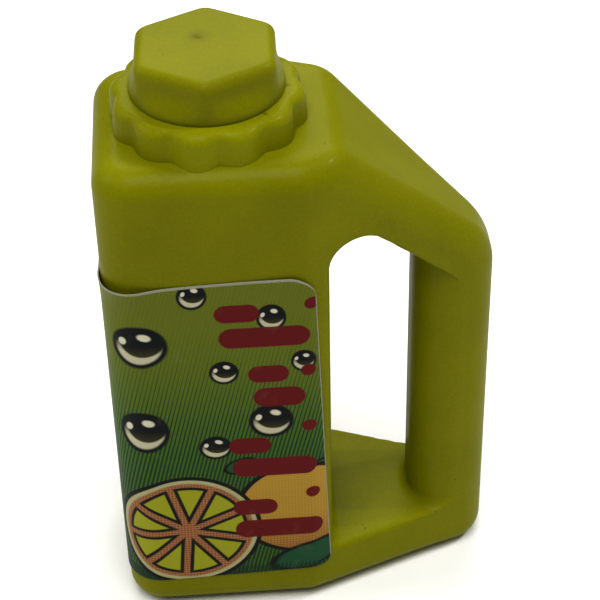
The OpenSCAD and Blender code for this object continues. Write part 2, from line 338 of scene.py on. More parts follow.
class JugForm:
    """The jug's solid as a signed distance, worked out from its sizes."""

    def __init__(self, shape):
        self.shape = shape
        self.taper = math.atan((HALF_W - shape.rear_w / 2) / (BACK_X - END_X - shape.bend_x))
        self.hole_left = END_X + shape.hole_x
        self.hole_right = self.hole_left + shape.hole_l
        past = 3 * MM                                   # how far the plan runs on past the back
        before = 9 * MM                                 # how far the side view runs on before the end
        deep = BACK_X + past
        self.side = [
            (END_X - before, 0),
            (BACK_X, 0),
            (BACK_X, self.shoulder(BACK_X)),
            (END_X + shape.ridge_x, JUG_TOP),
            (END_X - before, JUG_TOP),
        ]
        self.side_radii = [shape.edge_r, shape.edge_r, shape.rear_r, shape.ridge_r, shape.edge_r]
        bend = END_X + shape.bend_x
        self.plan = [
            (END_X, -HALF_W),
            (bend, -HALF_W),
            (deep, -self.half_width(deep)),
            (deep, self.half_width(deep)),
            (bend, HALF_W),
            (END_X, HALF_W),
        ]
        tip = 0.3 * MM
        self.plan_radii = [shape.corner_r, shape.edge_r, tip, tip, shape.edge_r, shape.corner_r]
        beyond = self.hole_right + 2 * shape.grip_r + past
        self.hole = [
            (self.hole_left, shape.shelf_h),
            (beyond, shape.shelf_h),
            (beyond, self.arm_under(beyond)),
            (self.hole_left, self.arm_under(self.hole_left)),
        ]
        self.hole_radii = [shape.hole_foot_r, tip, tip, shape.hole_top_r]
        face = self.half_width(self.hole_right)
        self.grip = [
            (self.hole_right, -face),
            (deep, -self.half_width(deep)),
            (deep, self.half_width(deep)),
            (self.hole_right, face),
        ]
        self.grip_radii = [shape.grip_r, tip, tip, shape.grip_r]
        self.grip_touch = self.hole_right + shape.grip_r * (1 + math.sin(self.taper))

    def shoulder(self, x):
        """Height of the sloping shoulder."""
        return JUG_TOP - math.tan(self.shape.slope) * (x - END_X - self.shape.ridge_x)

    def arm_under(self, x):
        """Height of the arm's underside."""
        return self.shoulder(x) - self.shape.arm_t / math.cos(self.shape.slope)

    def half_width(self, x):
        """Half the width of the jug behind the bend."""
        return HALF_W - math.tan(self.taper) * (x - END_X - self.shape.bend_x)

    def outer(self, x, y, z, inset=0.0):
        """The outer form moved inwards by inset."""
        shape = self.shape
        side = outline_distance(x, z, self.side, self.side_radii) + inset
        plan = outline_distance(x, y, self.plan, self.plan_radii) + inset
        at_back = ramp(x, self.hole_right, BACK_X)
        radius = shape.edge_r + (shape.rear_corner_r - shape.edge_r) * at_back - inset
        return round_cut(side, plan, radius)

    def distance(self, x, y, z):
        """The whole solid: the outer form less its finger opening, its hollow and its mouth."""
        shape = self.shape
        hole = outline_distance(x, z, self.hole, self.hole_radii)
        grip = outline_distance(x, y, self.grip, self.grip_radii)
        grip = np.minimum(grip, self.grip_touch - x)
        up_grip = ramp(z, shape.shelf_h + 3 * MM, shape.shelf_h + 9 * MM)
        fillet = shape.grip_fillet * (1 - 0.8 * up_grip)        # much smaller under the arm
        kept = round_join(-hole, grip, fillet)
        off_tank = ramp(x, self.hole_left, self.hole_left + 2 * MM)
        on_grip = ramp(x, self.hole_right - MM, self.grip_touch - MM)
        lip = shape.lip_r + (shape.rim_r - shape.lip_r) * (1 - off_tank)
        lip = lip * (1 - 0.97 * on_grip)                        # fades out where the grip runs flush
        solid = round_cut(self.outer(x, y, z), kept, lip)
        tank = np.maximum(self.outer(x, y, z, shape.wall), x - self.hole_left + shape.wall)
        mouth_r = (shape.neck_r + shape.neck_bore_r) / 2
        mouth = np.maximum(np.hypot(x - AXIS_X, y) - mouth_r, JUG_TOP - 2 * shape.wall - z)
        return np.maximum(solid, -np.minimum(tank, mouth))


class LabelWrap:
    """Where the label lies. A point of the label is a, the way round the jug from the middle of the
    label end, below zero on the +Y side, and b, the height above the label's lower edge."""

    def __init__(self, shape, form):
        self.shape = shape
        corner, bend_r = form.shape.corner_r, form.shape.edge_r
        flat_end = HALF_W - corner
        short = bend_r * math.tan(form.taper / 2)
        # the way round the plan on the -Y side: (length, turn to the left in radians)
        self.stretches = [
            (flat_end, 0.0),
            (corner * math.pi / 2, math.pi / 2),
            (form.shape.bend_x - corner - short, 0.0),
            (bend_r * form.taper, form.taper),
            (20 * MM, 0.0),
        ]
        # on a broad side a place is this much further round than it is along from the label end
        self.around = flat_end + corner * math.pi / 2 - corner
        self.reach = self.around + shape.reach

    def way_round(self, length):
        """Place and heading at a length along the -Y half of the plan."""
        x, y, heading = END_X, 0.0, -math.pi / 2
        left = length
        for run, turn in self.stretches:
            step = min(left, run)
            part = turn * step / run
            if turn:
                radius = run / turn
                x += radius * (math.sin(heading + part) - math.sin(heading))
                y -= radius * (math.cos(heading + part) - math.cos(heading))
            else:
                x += step * math.cos(heading)
                y += step * math.sin(heading)
            heading += part
            left -= step
            if left <= 0:
                break
        return x, y, heading

    def rounded(self, a, b):
        """The height b drawn in where the label's corners are rounded."""
        shape = self.shape
        to_edge = min(b, shape.height - b)
        to_end = self.reach - abs(a)
        radius = shape.corner_r
        if a >= 0 and b > shape.height / 2:
            radius = 2.2 * shape.corner_r               # the near upper corner is the roundest
        if to_end >= radius:
            return b
        room = radius - math.sqrt(max(0.0, radius * radius - (radius - to_end) ** 2))
        inward = 1 if b < shape.height / 2 else -1
        return b + room * inward * max(0.0, 1 - to_edge / (3 * radius))

    def stand_off(self, a, b):
        """How far the upper edge stands off the wall, near the jug's corner and at the free edges."""
        shape = self.shape
        high = max(0.0, b / shape.height - 0.9) / 0.1   # 0 up to 1 over the upper tenth
        by_corner = math.exp(-((abs(a) - self.around - 2.2 * MM) / (2.6 * MM)) ** 2)
        by_end = math.exp(-((self.reach - abs(a)) / (4 * MM)) ** 2)
        lift = shape.lift * by_corner * (1 if a >= 0 else 0.5)
        return (lift + shape.edge_lift * by_end) * high ** 2

    def place(self, a, b, off):
        """The point off the wall by off, and its place in the print, where 1 is 100 mm."""
        shape = self.shape
        side = 1 if a >= 0 else -1
        b = self.rounded(a, b)
        off += self.stand_off(a, b)
        # the label is turned about its middle on the broad sides and stays level at the label end
        tilt = math.sin(shape.lean)
        past_end = max(0.0, abs(a) - 0.6 * self.around)
        z = shape.foot + b * math.cos(shape.lean) + tilt * past_end * (1 if side > 0 else 0.6)
        length = abs(a) - (b - 0.5 * shape.height) * tilt * min(1.0, past_end / (4 * MM))
        x, y, heading = self.way_round(length)
        x += math.sin(heading) * off
        y -= math.cos(heading) * off
        return (x, side * y, z), (side * length / MM / 100 + 0.5, z / MM / 100)


def grid_lines(low, high, busy, fine, coarse):
    """Lines from low to high, close together inside the busy stretches and wider away from them."""
    lines = [low]
    while lines[-1] < high:
        gap = min(max(start - lines[-1], lines[-1] - end, 0) for start, end in busy)
        lines.append(lines[-1] + min(coarse, fine + 0.35 * gap))
    return np.array(lines)


def skin(distance, xs, ys, zs):
    """A quad mesh on the surface where distance is zero, with the surface's own normals."""
    values = distance(*np.meshgrid(xs, ys, zs, indexing="ij"))
    inside = values < 0
    cells = tuple(n - 1 for n in values.shape)
    total = np.zeros(cells + (3,))
    count = np.zeros(cells)
    crossings = []
    for axis, lines in enumerate((xs, ys, zs)):
        first = [slice(None)] * 3
        last = [slice(None)] * 3
        first[axis] = slice(None, -1)
        last[axis] = slice(1, None)
        a, b = values[tuple(first)], values[tuple(last)]
        crossed = inside[tuple(first)] != inside[tuple(last)]
        t = np.where(crossed, a / np.where(crossed, a - b, 1), 0)
        place = np.stack(np.meshgrid(*[
            (lines[:-1] if k == axis else (xs, ys, zs)[k]) for k in range(3)
        ], indexing="ij"), axis=-1)
        step = np.diff(lines).reshape([-1 if k == axis else 1 for k in range(3)])
        place[..., axis] += t * step
        crossings.append(crossed)
        across = [k for k in range(3) if k != axis]
        for near in (slice(None, -1), slice(1, None)):
            for far in (slice(None, -1), slice(1, None)):
                part = [slice(None)] * 3
                part[across[0]] = near
                part[across[1]] = far
                part = tuple(part)
                total += place[part] * crossed[part][..., None]
                count += crossed[part]
    used = count > 0
    number = np.full(cells, -1)
    number[used] = np.arange(used.sum())
    points = total[used] / count[used][:, None]
    faces = []
    for axis, crossed in enumerate(crossings):
        one, two = (axis + 1) % 3, (axis + 2) % 3
        cell = np.argwhere(crossed)
        keep = (cell[:, one] > 0) & (cell[:, two] > 0)
        keep &= (cell[:, one] < cells[one]) & (cell[:, two] < cells[two])
        cell = cell[keep]
        outward = inside[tuple(cell.T)]
        loop = []
        for back_one, back_two in ((1, 1), (0, 1), (0, 0), (1, 0)):
            index = cell.copy()
            index[:, one] -= back_one
            index[:, two] -= back_two
            loop.append(number[tuple(index.T)])
        loop = np.stack(loop, axis=1)
        faces.append(np.where(outward[:, None], loop, loop[:, ::-1]))
    faces = np.concatenate(faces)
    reach = 0.01 * MM

    def slope(p):
        """Gradient of the distance at the points."""
        parts = []
        for axis in range(3):
            offset = np.zeros(3)
            offset[axis] = reach
            parts.append((distance(*(p + offset).T) - distance(*(p - offset).T)) / (2 * reach))
        return np.stack(parts, axis=1)

    for _ in range(4):
        gradient = slope(points)
        square = np.maximum((gradient ** 2).sum(axis=1), 0.05)
        move = (distance(*points.T) / square)[:, None] * gradient
        points = points - np.clip(move, -0.2 * MM, 0.2 * MM)
    normals = slope(points)
    normals /= np.maximum(np.linalg.norm(normals, axis=1), 1e-6)[:, None]
    return points, faces, normals


# ---- materials ----

def new_material(name):
    """A material with an empty tree and a surface output, and a Principled shader for it."""
    material = bpy.data.materials.new(name)
    material.use_nodes = True
    tree = material.node_tree
    tree.nodes.clear()
    shader = add_node(tree, "ShaderNodeBsdfPrincipled")
    add_node(tree, "ShaderNodeOutputMaterial", links={"Surface": shader.outputs[0]})
    return material, tree, shader


def moulded_plastic(name, base, grain_seed, smudges_and_crease_shade=()):
    """Lime polypropylene, injection moulded: an even, slightly waxy surface with a faint orange
    peel, a trace of flow marks in the colour, and a few dark specks of dust in its skin. Smudges
    and crease shade are places with a radius and a strength. Each is a dull dark mark, where handling
    or the mould left one, or painted shade where a crease between two parts lies in shadow."""
    material, tree, shader = new_material(name)
    place = add_node(tree, "ShaderNodeTexCoord").outputs["Object"]
    moved = add_node(tree, "ShaderNodeMapping", {"Location": (grain_seed, 0.0, 0.0)}, {"Vector": place})
    shift = moved.outputs[0]
    # flow marks about 9 mm across
    flow = add_node(tree, "ShaderNodeTexNoise", {"Scale": 1 / (9 * MM), "Detail": 2.0}, {"Vector": shift})
    # pigment grain about 0.25 mm across
    grain = add_node(tree, "ShaderNodeTexNoise", {"Scale": 1 / (0.25 * MM), "Detail": 1.0}, {"Vector": shift})
    dark = tuple(c * 0.86 for c in base[:3]) + (1.0,)
    light = tuple(min(1.0, c * 1.07) for c in base[:3]) + (1.0,)
    tone = maths(tree, "ADD", maths(tree, "MULTIPLY", flow.outputs[0], 0.6),
                 maths(tree, "MULTIPLY", grain.outputs[0], 0.4))
    spread = add_node(tree, "ShaderNodeMapRange", {"From Min": 0.32, "From Max": 0.68}, {"Value": tone})
    body = add_node(tree, "ShaderNodeMix", {"data_type": "RGBA", "A": dark, "B": light},
                    {"Factor": spread.outputs[0]})
    # specks about 0.12 mm across, a few in a square centimetre
    speck = add_node(tree, "ShaderNodeTexVoronoi", {"Scale": 1 / (2.6 * MM)}, {"Vector": shift})
    near = add_node(tree, "ShaderNodeMapRange",
                    {"From Min": 0.028, "From Max": 0.05, "To Min": 0.55, "To Max": 0.0},
                    {"Value": speck.outputs["Distance"]})
    tinted = add_node(tree, "ShaderNodeMix", {"data_type": "RGBA", "B": linear("#3c3a12")},
                      {"Factor": near.outputs[0], "A": body.outputs["Result"]})
    body = tinted.outputs["Result"]
    # the edges of the smudges and of the painted crease shade wander by a grain of about 0.5 mm
    wander = add_node(tree, "ShaderNodeTexNoise", {"Scale": 1 / (0.5 * MM), "Detail": 2.0}, {"Vector": place})
    stretch = maths(tree, "ADD", wander.outputs[0], 0.5)
    for centre, radius, strength in smudges_and_crease_shade:
        away = add_node(tree, "ShaderNodeVectorMath", {"operation": "DISTANCE", 1: centre}, {0: place})
        ragged = maths(tree, "MULTIPLY", away.outputs["Value"], stretch)
        share = add_node(tree, "ShaderNodeMapRange",
                         {"From Min": radius, "From Max": radius * 0.2, "To Max": strength},
                         {"Value": ragged})
        body = add_node(tree, "ShaderNodeMix", {"data_type": "RGBA", "B": linear("#54491a")},
                        {"Factor": share.outputs[0], "A": body}).outputs["Result"]
    tree.links.new(body, shader.inputs["Base Color"])
    # orange peel about 0.6 mm across and slow sink marks about 6 mm across
    peel = add_node(tree, "ShaderNodeTexNoise", {"Scale": 1 / (0.6 * MM), "Detail": 2.0}, {"Vector": shift})
    sink = add_node(tree, "ShaderNodeTexNoise", {"Scale": 1 / (6 * MM), "Detail": 1.0}, {"Vector": shift})
    height = maths(tree, "ADD", maths(tree, "MULTIPLY", peel.outputs[0], 0.012 * MM),
                   maths(tree, "MULTIPLY", sink.outputs[0], 0.16 * MM))
    bump = add_node(tree, "ShaderNodeBump", {"Strength": 0.6, "Distance": 1.0}, {"Height": height})
    rough = add_node(tree, "ShaderNodeMapRange", {"To Min": 0.36, "To Max": 0.5}, {"Value": grain.outputs[0]})
    tree.links.new(rough.outputs[0], shader.inputs["Roughness"])
    tree.links.new(bump.outputs[0], shader.inputs["Normal"])
    shader.inputs["IOR"].default_value = 1.49
    shader.inputs["Specular IOR Level"].default_value = 0.05
    shader.inputs["Coat Weight"].default_value = 0.04
    shader.inputs["Coat Roughness"].default_value = 0.16
    return material


def foam(name, base):
    """Expanded polyethylene, sliced: a matt off-white face with fine closed cells."""
    material, tree, shader = new_material(name)
    place = add_node(tree, "ShaderNodeTexCoord").outputs["Object"]
    # cells about 0.2 mm across
    cells = add_node(tree, "ShaderNodeTexVoronoi", {"Scale": 1 / (0.2 * MM)}, {"Vector": place})
    shade = add_node(tree, "ShaderNodeMapRange", {"From Max": 0.8, "To Min": 0.9, "To Max": 1.0},
                     {"Value": cells.outputs["Distance"]})
    body = add_node(tree, "ShaderNodeMix", {"data_type": "RGBA", "A": linear("#b9b6a6"), "B": base},
                    {"Factor": shade.outputs[0]})
    tree.links.new(body.outputs["Result"], shader.inputs["Base Color"])
    bump = add_node(tree, "ShaderNodeBump", {"Strength": 0.5, "Distance": 0.03 * MM},
                    {"Height": cells.outputs["Distance"]})
    tree.links.new(bump.outputs[0], shader.inputs["Normal"])
    shader.inputs["Roughness"].default_value = 0.85
    return material


def cut_paper(name, base):
    """The label's face stock, die cut: a matt, fibrous white edge."""
    material, tree, shader = new_material(name)
    place = add_node(tree, "ShaderNodeTexCoord").outputs["Object"]
    # fibres about 0.08 mm thick
    fibre = add_node(tree, "ShaderNodeTexNoise", {"Scale": 1 / (0.08 * MM), "Detail": 3.0}, {"Vector": place})
    shade = add_node(tree, "ShaderNodeMix", {"data_type": "RGBA", "A": linear("#77766a"), "B": base},
                     {"Factor": fibre.outputs[0]})
    tree.links.new(shade.outputs["Result"], shader.inputs["Base Color"])
    shader.inputs["Roughness"].default_value = 0.8
    return material


class Print:
    """The printed face of the label. Places are in millimetres: across is the way along a broad side
    from the label end, alike on both sides, and up is the height above the table."""

    def __init__(self, tree, across, up):
        self.tree = tree
        self.across = across
        self.up = up
        self.ink = None

    def step(self, operation, *values):
        return maths(self.tree, operation, *values)

    def weigh(self, one, two, a, b):
        """One times a plus two times b."""
        return self.step("ADD", self.step("MULTIPLY", one, a), self.step("MULTIPLY", two, b))

    def length(self, one, two):
        """The length of a step that runs one across and two up."""
        squares = self.step("ADD", self.step("MULTIPLY", one, one), self.step("MULTIPLY", two, two))
        return self.step("SQRT", squares)

    def lay(self, mask, tone):
        """Lays a colour, or another node's colour, over what is printed so far."""
        settings = {"data_type": "RGBA"}
        links = {"Factor": mask, "A": self.ink}
        if isinstance(tone, str):
            settings["B"] = linear(tone)
        else:
            links["B"] = tone
        self.ink = add_node(self.tree, "ShaderNodeMix", settings, links).outputs["Result"]

    def edge(self, distance, soft=0.05):
        """1 where the distance is below zero, with an edge as soft as the print's."""
        return add_node(self.tree, "ShaderNodeMapRange",
                        {"From Min": soft, "From Max": -soft}, {"Value": distance}).outputs[0]

    def away(self, x, y, wide=1.0, tall=1.0, lean=0.0):
        """Distance from a place, counted in ellipses that are wide and tall and turned by lean."""
        dx = self.step("SUBTRACT", self.across, x)
        dy = self.step("SUBTRACT", self.up, y)
        c, s = math.cos(math.radians(lean)), math.sin(math.radians(lean))
        along = self.step("DIVIDE", self.weigh(dx, dy, c, s), wide)
        over = self.step("DIVIDE", self.weigh(dx, dy, -s, c), tall)
        return self.length(along, over)

    def stripes(self, pitch, lean, width):
        """Screen lines: 1 on a line. The width is a share of the pitch and may be a node's output."""
        c, s = math.cos(math.radians(lean)), math.sin(math.radians(lean))
        run = self.weigh(self.across, self.up, c / pitch, s / pitch)
        wave = self.step("PINGPONG", run, 0.5)
        gap = self.step("SUBTRACT", wave, self.step("MULTIPLY", width, 0.5))
        return self.edge(gap, 0.09)

    def dots(self, pitch, lean, share):
        """Halftone: 1 on a dot. The share is the dot's size and may be a node's output. The real dots are
        about 0.28 mm apart, which is too fine to show, so they are drawn 0.4 mm apart or a little more."""
        c, s = math.cos(math.radians(lean)), math.sin(math.radians(lean))
        k = 2 * math.pi / pitch
        one = self.weigh(self.across, self.up, c * k, s * k)
        two = self.weigh(self.across, self.up, -s * k, c * k)
        wave = self.step("MULTIPLY", self.step("COSINE", one), self.step("COSINE", two))
        return self.edge(self.step("SUBTRACT", self.step("MULTIPLY", wave, 0.5), share), 0.25)

    def fade(self, low, high):
        """Rises from 0 at height low to 1 at height high."""
        return add_node(self.tree, "ShaderNodeMapRange", {"From Min": low, "From Max": high},
                        {"Value": self.up}).outputs[0]

    def bubble(self, x, y, wide, tall):
        """A round drop: a dark rim, a dark upper half, a pale crescent below and two small lights."""
        rim = self.away(x, y, wide / 2, tall / 2)
        self.lay(self.edge(self.step("SUBTRACT", rim, 1.0)), "#0d0f12")
        crescent = self.away(x + 0.06 * wide, y + 0.13 * tall, 0.40 * wide, 0.36 * tall)
        pale = self.step("MULTIPLY", self.edge(self.step("SUBTRACT", rim, 0.8)),
                         self.step("SUBTRACT", 1.0, self.edge(self.step("SUBTRACT", crescent, 1.0))))
        low = self.fade(y + 0.12 * tall, y - 0.12 * tall)
        self.lay(self.step("MULTIPLY", pale, low), "#bdb99c")
        warm = self.step("MULTIPLY", self.edge(self.step("SUBTRACT", crescent, 1.0)),
                         self.fade(y + 0.02 * tall, y - 0.3 * tall))
        self.lay(self.step("MULTIPLY", warm, 0.55), "#5d5a24")
        for dx, dy, w, h in ((0.10, 0.24, 0.12, 0.08), (-0.28, 0.12, 0.07, 0.09)):
            light = self.away(x + dx * wide, y + dy * tall, w * wide, h * tall, -20)
            self.lay(self.edge(self.step("SUBTRACT", light, 1.0), 0.2), "#cfccb4")

    def fruit_wheel(self, x, y, radius):
        """A slice of citrus: a rind, a pith and a ring of even segments."""
        away = self.away(x, y)
        self.lay(self.edge(self.step("SUBTRACT", away, radius)), OUTLINE_INK)
        self.lay(self.edge(self.step("SUBTRACT", away, radius - 0.42)), "#aba77c")
        self.lay(self.edge(self.step("SUBTRACT", away, radius - 0.85), 0.1), "#8a5330")
        inside = self.edge(self.step("SUBTRACT", away, radius - 0.9))
        tint = self.step("MULTIPLY", self.dots(0.42, 45, 0.0), inside)
        self.lay(self.step("MULTIPLY", tint, 0.6), "#b08a5c")
        count = 9
        dx = self.step("SUBTRACT", self.across, x)
        dy = self.step("SUBTRACT", self.up, y)
        turn = self.step("MULTIPLY", self.step("ARCTAN2", dy, dx), count / (2 * math.pi))
        wave = self.step("PINGPONG", self.step("ADD", turn, 0.37), 0.5)
        off = self.step("MULTIPLY", wave, 2 * math.pi / count)
        beside = self.step("MULTIPLY", away, self.step("SINE", off))
        inner = self.step("SUBTRACT", away, radius - 1.3)
        middle = self.step("SUBTRACT", 0.85, away)
        edges = self.step("MAXIMUM", self.step("MAXIMUM", inner, middle), self.step("SUBTRACT", 0.3, beside))
        self.lay(self.edge(edges), "#15140b")
        self.lay(self.edge(self.step("ADD", edges, 0.34)), "#9a9c1c")

    def whole_fruit(self, x, y, radius):
        """A whole fruit, pale at the top and warm below, with a halftone."""
        away = self.away(x, y, 1.08, 1.0)
        self.lay(self.edge(self.step("SUBTRACT", away, radius)), OUTLINE_INK)
        skin_mask = self.edge(self.step("SUBTRACT", away, radius - 0.45))
        self.lay(skin_mask, "#a8822e")
        self.lay(self.step("MULTIPLY", skin_mask, self.fade(y - radius * 0.1, y - radius)), "#8b5a31")
        share = self.step("SUBTRACT", self.step("MULTIPLY", self.fade(y + radius, y - radius), -0.5), -0.22)
        tint = self.step("MULTIPLY", self.dots(0.42, 45, share), skin_mask)
        self.lay(self.step("MULTIPLY", tint, 0.65), "#b5983f")

    def leaf(self, x, y, wide, tall, lean):
        """A pointed leaf with a dark outline."""
        away = self.away(x, y, wide / 2, tall / 2, lean)
        self.lay(self.edge(self.step("SUBTRACT", away, 1.0)), "#0b120c")
        self.lay(self.edge(self.step("SUBTRACT", away, 0.8)), "#1e5233")

    def bar(self, x0, x1, y, thick):
        """A solid bar with round ends."""
        off = self.step("ABSOLUTE", self.step("SUBTRACT", self.across, (x0 + x1) / 2))
        dx = self.step("MAXIMUM", self.step("SUBTRACT", off, (x1 - x0) / 2 - thick / 2), 0.0)
        dy = self.step("SUBTRACT", self.up, y)
        self.lay(self.edge(self.step("SUBTRACT", self.length(dx, dy), thick / 2)), RED_INK)

    def spot(self, x, y, radius):
        """A round red spot."""
        self.lay(self.edge(self.step("SUBTRACT", self.away(x, y), radius)), RED_INK)


def printed_label(name):
    """Coated label stock, offset printed in a coarse screen: a satin face with crisp flat inks."""
    material, tree, shader = new_material(name)
    uv = add_node(tree, "ShaderNodeUVMap", {"uv_map": "print"}).outputs[0]
    parts = add_node(tree, "ShaderNodeSeparateXYZ", links={0: uv}).outputs
    around = maths(tree, "MULTIPLY", maths(tree, "SUBTRACT", parts[0], 0.5), 100.0)
    up = maths(tree, "MULTIPLY", parts[1], 100.0)
    saved = 1.5                                        # what the rounded corner saves on the way round
    across = maths(tree, "SUBTRACT", maths(tree, "ABSOLUTE", around), HALF_W / MM - saved)
    art = Print(tree, across, up)
    art.ink = add_node(tree, "ShaderNodeMix",
                       {"data_type": "RGBA", "A": linear("#466a22"), "B": linear("#747a14")},
                       {"Factor": art.fade(20, 38)}).outputs["Result"]
    # the screen lines are 0.36 mm apart and grow wider downwards
    width = add_node(tree, "ShaderNodeMapRange",
                     {"From Min": 34.5, "From Max": 14.0, "To Min": 0.0, "To Max": 0.62},
                     {"Value": up})
    art.lay(art.stripes(0.36, -14, width.outputs[0]), "#1d3a1c")
    art.lay(maths(tree, "MULTIPLY", art.dots(0.4, 30, 0.1), art.fade(24, 38)), "#68701c")
    art.leaf(18.6, 17.0, 4.4, 2.6, 10)
    art.leaf(11.2, 18.2, 3.4, 1.8, 20)
    art.whole_fruit(16.6, 12.4, 5.7)
    art.leaf(17.4, 6.2, 8.5, 3.4, 18)
    art.leaf(-2.2, 6.0, 5.0, 3.6, -60)
    art.lay(maths(tree, "MULTIPLY", art.stripes(0.36, -12, 0.55), art.fade(5.4, 5.0)), "#16341f")
    art.fruit_wheel(6.0, 10.3, 6.9)
    for drop in (
        (7.7, 38.0, 2.6, 2.8), (2.9, 32.7, 5.0, 4.6), (2.7, 22.8, 4.6, 4.8), (10.1, 29.4, 2.6, 2.6),
        (14.4, 35.3, 2.6, 2.9), (17.1, 30.3, 2.2, 2.4), (14.1, 23.5, 4.0, 3.9), (9.0, 20.6, 3.0, 2.8),
    ):
        art.bubble(*drop)
    for x0, x1, y, thick in (
        (9.5, 13.4, 35.9, 1.9), (9.8, 17.7, 33.2, 2.2),
        (12.2, 15.8, 29.0, 1.9), (12.6, 17.2, 26.3, 2.2),
        (10.2, 14.0, 20.6, 1.9), (10.4, 18.1, 17.9, 2.2),
        (10.3, 14.4, 12.9, 1.9), (10.4, 18.6, 10.1, 2.2),
    ):
        art.bar(x0, x1, y, thick)
    for x, y in ((17.9, 36.6), (17.5, 29.2), (17.5, 22.7), (17.7, 14.4)):
        art.spot(x, y, 0.65)
    # faint rubbing of the ink, about 1.5 mm across
    place = add_node(tree, "ShaderNodeTexCoord").outputs["Object"]
    rub = add_node(tree, "ShaderNodeTexNoise", {"Scale": 1 / (1.5 * MM), "Detail": 3.0}, {"Vector": place})
    worn = add_node(tree, "ShaderNodeMapRange", {"From Min": 0.62, "From Max": 0.8, "To Max": 0.12},
                    {"Value": rub.outputs[0]}).outputs[0]
    art.lay(worn, "#8a8a6a")
    tree.links.new(art.ink, shader.inputs["Base Color"])
    rough = add_node(tree, "ShaderNodeMapRange", {"To Min": 0.42, "To Max": 0.56}, {"Value": rub.outputs[0]})
    tree.links.new(rough.outputs[0], shader.inputs["Roughness"])
    shader.inputs["Specular IOR Level"].default_value = 0.15
    return material


def matt_floor(name, base):
    """Matt painted board: pale and even, with a faint mottle 20 mm across."""
    material, tree, shader = new_material(name)
    place = add_node(tree, "ShaderNodeTexCoord").outputs["Object"]
    mottle = add_node(tree, "ShaderNodeTexNoise", {"Scale": 1 / (20 * MM)}, {"Vector": place})
    shade = add_node(tree, "ShaderNodeMix", {"data_type": "RGBA", "A": base, "B": linear("#f7f6f4")},
                     {"Factor": mottle.outputs[0]})
    tree.links.new(shade.outputs["Result"], shader.inputs["Base Color"])
    shader.inputs["Roughness"].default_value = 0.9
    shader.inputs["Specular IOR Level"].default_value = 0.1
    return material


# ---- Geometry Nodes trees ----

def thread_tree():
    """A helical ridge round the Z axis that rises out of its wall at both ends."""
    tree, given = new_tree("thread_ridge", {
        "Geometry": ("NodeSocketGeometry", None),
        "Radius": ("NodeSocketFloat", 0.004),
        "Pitch": ("NodeSocketFloat", 0.0015),
        "Turns": ("NodeSocketFloat", 2.0),
        "Ridge radius": ("NodeSocketFloat", 0.0004),
        "Place": ("NodeSocketVector", (0.0, 0.0, 0.0)),
        "Material": ("NodeSocketMaterial", None),
    })
    height = maths(tree, "MULTIPLY", given["Pitch"], given["Turns"])
    spiral = add_node(tree, "GeometryNodeCurveSpiral", {"Resolution": 60}, {
        "Rotations": given["Turns"],
        "Start Radius": given["Radius"],
        "End Radius": given["Radius"],
        "Height": height,
    })
    section = add_node(tree, "GeometryNodeCurvePrimitiveCircle", {"Resolution": 14},
                       {"Radius": given["Ridge radius"]})
    along = add_node(tree, "GeometryNodeSplineParameter").outputs["Factor"]
    rise = maths(tree, "MINIMUM", maths(tree, "MULTIPLY", along, 24.0),
                 maths(tree, "MULTIPLY", maths(tree, "SUBTRACT", 1.0, along), 24.0))
    scale = maths(tree, "MINIMUM", maths(tree, "ADD", rise, 0.2), 1.0)
    ridge = add_node(tree, "GeometryNodeCurveToMesh", {"Fill Caps": True}, {
        "Curve": spiral.outputs[0],
        "Profile Curve": section.outputs[0],
        "Scale": scale,
    })
    moved = add_node(tree, "GeometryNodeTransform", links={
        "Geometry": ridge.outputs[0],
        "Translation": given["Place"],
    })
    end_tree(tree, moved.outputs[0], given["Material"])
    return tree


def lobe_tree():
    """Draws a ring in between lobes, as far as the attribute lobe_share says at each point."""
    tree, given = new_tree("collar_lobes", {
        "Geometry": ("NodeSocketGeometry", None),
        "Lobes": ("NodeSocketInt", 12),
        "Depth": ("NodeSocketFloat", 0.0008),
        "Turn": ("NodeSocketFloat", 0.0),
        "Centre": ("NodeSocketVector", (0.0, 0.0, 0.0)),
        "Material": ("NodeSocketMaterial", None),
    })
    position = add_node(tree, "GeometryNodeInputPosition").outputs[0]
    offset = add_node(tree, "ShaderNodeVectorMath", {"operation": "SUBTRACT"}, {
        0: position,
        1: given["Centre"],
    })
    parts = add_node(tree, "ShaderNodeSeparateXYZ", links={0: offset.outputs[0]}).outputs
    turn = maths(tree, "SUBTRACT", maths(tree, "ARCTAN2", parts[1], parts[0]), given["Turn"])
    wave = maths(tree, "COSINE", maths(tree, "MULTIPLY", turn, maths(tree, "MULTIPLY", given["Lobes"], 0.5)))
    soft = 0.07                                         # rounds the bottoms of the valleys
    crest = maths(tree, "SQRT", maths(tree, "ADD", maths(tree, "MULTIPLY", wave, wave), soft))
    valley = maths(tree, "SUBTRACT", math.sqrt(1 + soft), crest)
    share = add_node(tree, "GeometryNodeInputNamedAttribute", {"data_type": "FLOAT", "Name": "lobe_share"})
    inward = maths(tree, "MULTIPLY", maths(tree, "MULTIPLY", valley, given["Depth"]), share.outputs[0])
    flat = add_node(tree, "ShaderNodeCombineXYZ", links={0: parts[0], 1: parts[1]}).outputs[0]
    outward = add_node(tree, "ShaderNodeVectorMath", {"operation": "NORMALIZE"}, {0: flat}).outputs[0]
    move = add_node(tree, "ShaderNodeVectorMath", {"operation": "SCALE"},
                    {0: outward, "Scale": maths(tree, "MULTIPLY", inward, -1.0)}).outputs[0]
    drawn = add_node(tree, "GeometryNodeSetPosition", links={"Geometry": given["Geometry"], "Offset": move})
    end_tree(tree, drawn.outputs[0], given["Material"])
    return tree


# ---- operators, one for each piece ----

